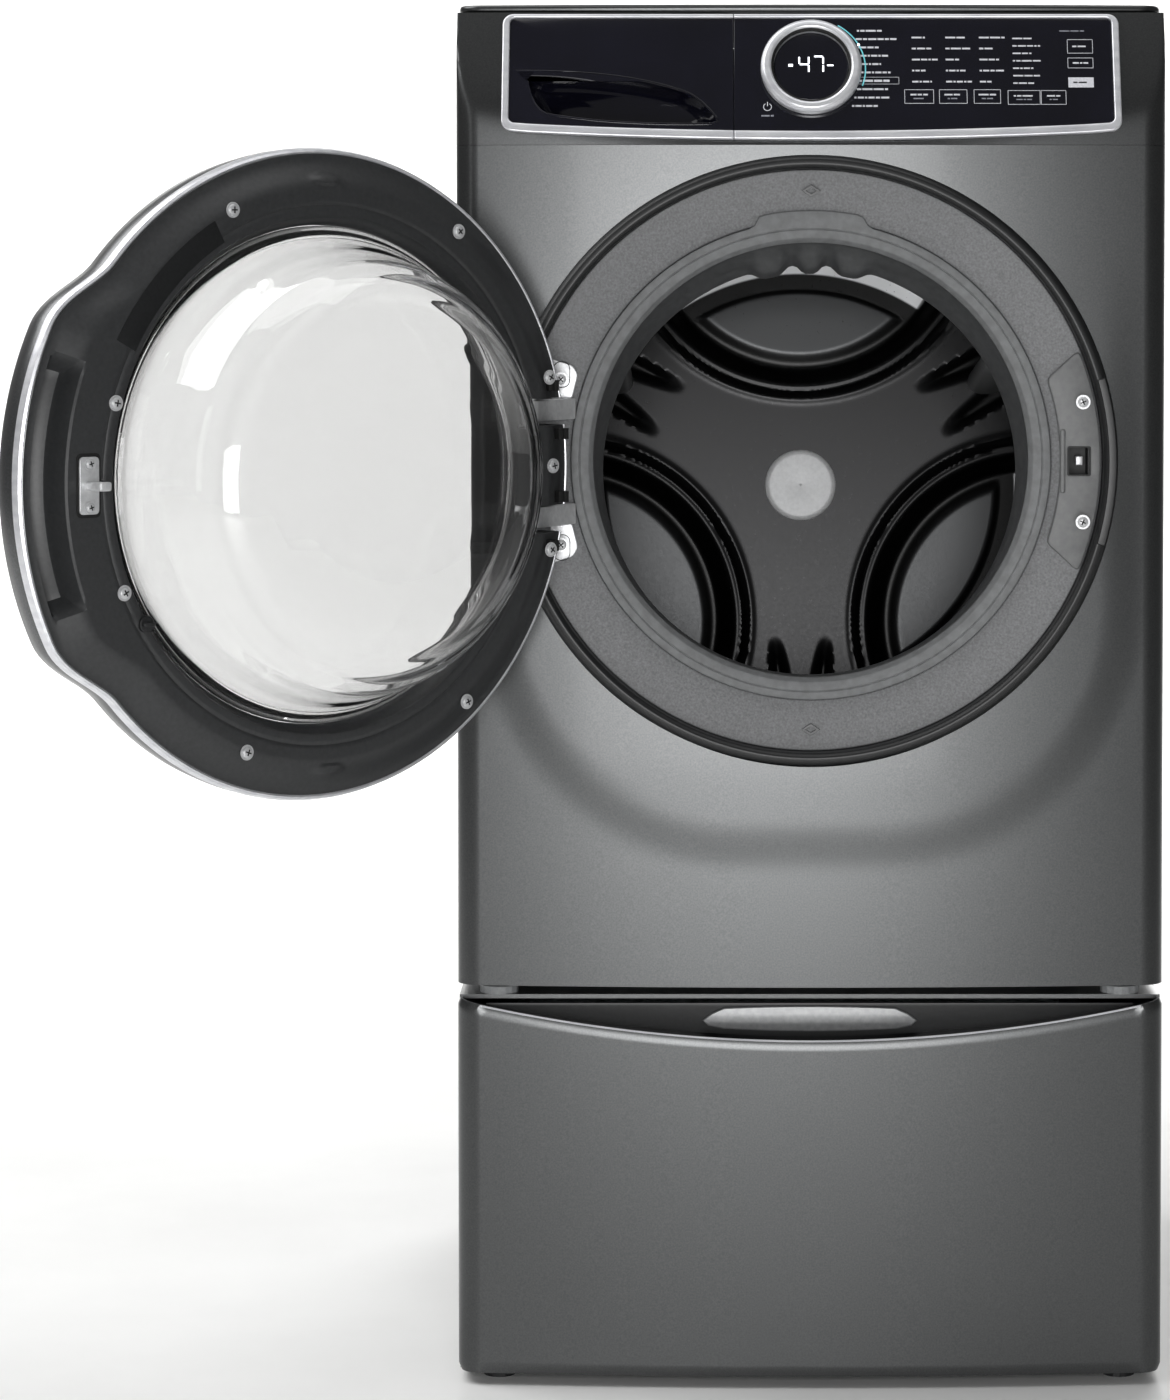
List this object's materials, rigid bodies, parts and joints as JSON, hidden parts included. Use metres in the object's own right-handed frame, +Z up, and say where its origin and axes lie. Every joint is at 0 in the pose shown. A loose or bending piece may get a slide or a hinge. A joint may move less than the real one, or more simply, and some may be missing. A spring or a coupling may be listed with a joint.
{
  "type": "front load washing machine",
  "caption": "Front load washer with a round glass door that swings open, a tilted drum, a slide-out detergent drawer, a control dial and a storage pedestal.",
  "frame": {"origin": "on the floor, under the middle of the bounding box with the door open", "axes": "+X to the right as seen from the front, +Y to the back, +Z up"},
  "size_m": [1.0644, 1.2274, 1.3503],
  "materials": {
    "titanium": "dark metallic grey enamel, satin",
    "zinc": "galvanised sheet",
    "chrome": "bright satin",
    "black_gloss": "high gloss",
    "black_plastic": "matt moulded",
    "grey_plastic": "fine grained",
    "charcoal": "satin moulded",
    "rubber": "matt grey",
    "steel": "bright stainless",
    "white_plastic": "pale filled polypropylene",
    "glass": "clear",
    "cast_iron": "rough grey",
    "aluminium": "die cast",
    "board": "green laminate"
  },
  "bodies": {
    "cabinet": {"front_panel": "titanium", "cabinet_wrap": "titanium", "top_panel": "titanium", "console_surround": "titanium", "pedestal_carcass": "titanium", "rear_cover": "zinc", "base_pan": "zinc", "console_trim": "chrome", "hinge_bracket_upper": "chrome", "hinge_bracket_lower": "chrome", "control_fascia": "black_gloss", "display_lens": "black_gloss", "recess_ring": "black_plastic", "door_lock": "black_plastic", "motor": "black_plastic", "drive_belt": "black_plastic", "damper_left": "black_plastic", "damper_right": "black_plastic", "drain_outlet": "black_plastic", "power_cord_inlet": "black_plastic", "opening_surround": "grey_plastic", "lock_cover": "grey_plastic", "drain_pump": "grey_plastic", "machine_foot_front_left": "grey_plastic", "machine_foot_front_right": "grey_plastic", "machine_foot_rear_left": "grey_plastic", "machine_foot_rear_right": "grey_plastic", "pedestal_foot_front_left": "grey_plastic", "pedestal_foot_front_right": "grey_plastic", "pedestal_foot_rear_left": "grey_plastic", "pedestal_foot_rear_right": "grey_plastic", "door_bellows": "rubber", "drum_bearing": "steel", "spring_left": "steel", "spring_right": "steel", "dispenser_housing": "white_plastic", "tub_front": "white_plastic", "tub_rear": "white_plastic", "water_inlet_valves": "white_plastic", "counterweight": "cast_iron", "control_board": "board"},
    "door": {"door_rim": "titanium", "door_liner": "charcoal", "door_window": "glass", "door_glass": "glass", "hinge_pin": "steel", "door_strike": "chrome"},
    "drum": {"drum_shell": "steel", "drum_spider": "aluminium", "drum_lifter_1": "grey_plastic", "drum_lifter_2": "grey_plastic", "drum_lifter_3": "grey_plastic", "drum_pulley": "aluminium"},
    "motor_rotor": {"motor_pulley": "steel"},
    "dispenser_drawer": {"drawer_front": "black_gloss", "drawer_trim": "chrome", "dispenser_tray": "white_plastic"},
    "dial": {"dial_ring": "chrome"},
    "pedestal_drawer": {"pedestal_drawer_front": "titanium", "pedestal_drawer_box": "zinc"}
  },
  "joints": [
    {"name": "door_hinge", "type": "hinge", "parent": "cabinet", "child": "door", "pos_m": [-0.07978, -0.19956, 0.906], "axis": [0, 0, 1], "range_deg": [0, 138]},
    {"name": "drum_spin", "type": "hinge", "parent": "cabinet", "child": "drum", "pos_m": [0.18822, -0.08956, 0.906], "axis": [0, 0.9925, -0.1219], "continuous": true},
    {"name": "motor_spin", "type": "hinge", "parent": "cabinet", "child": "motor_rotor", "pos_m": [0.18822, -0.13514, 0.53479], "axis": [0, 0.9925, -0.1219], "continuous": true},
    {"name": "dispenser_slide", "type": "slide", "parent": "cabinet", "child": "dispenser_drawer", "axis": [0, -1, 0], "range_m": [0, 0.22]},
    {"name": "dial_turn", "type": "hinge", "parent": "cabinet", "child": "dial", "pos_m": [0.18822, -0.12061, 1.2855], "axis": [0, -0.9304, 0.3665], "continuous": true},
    {"name": "pedestal_slide", "type": "slide", "parent": "cabinet", "child": "pedestal_drawer", "axis": [0, -1, 0], "range_m": [0, 0.42]}
  ],
  "couplings": [
    {"joint": "motor_spin", "follows": "drum_spin", "ratio": 10}
  ]
}
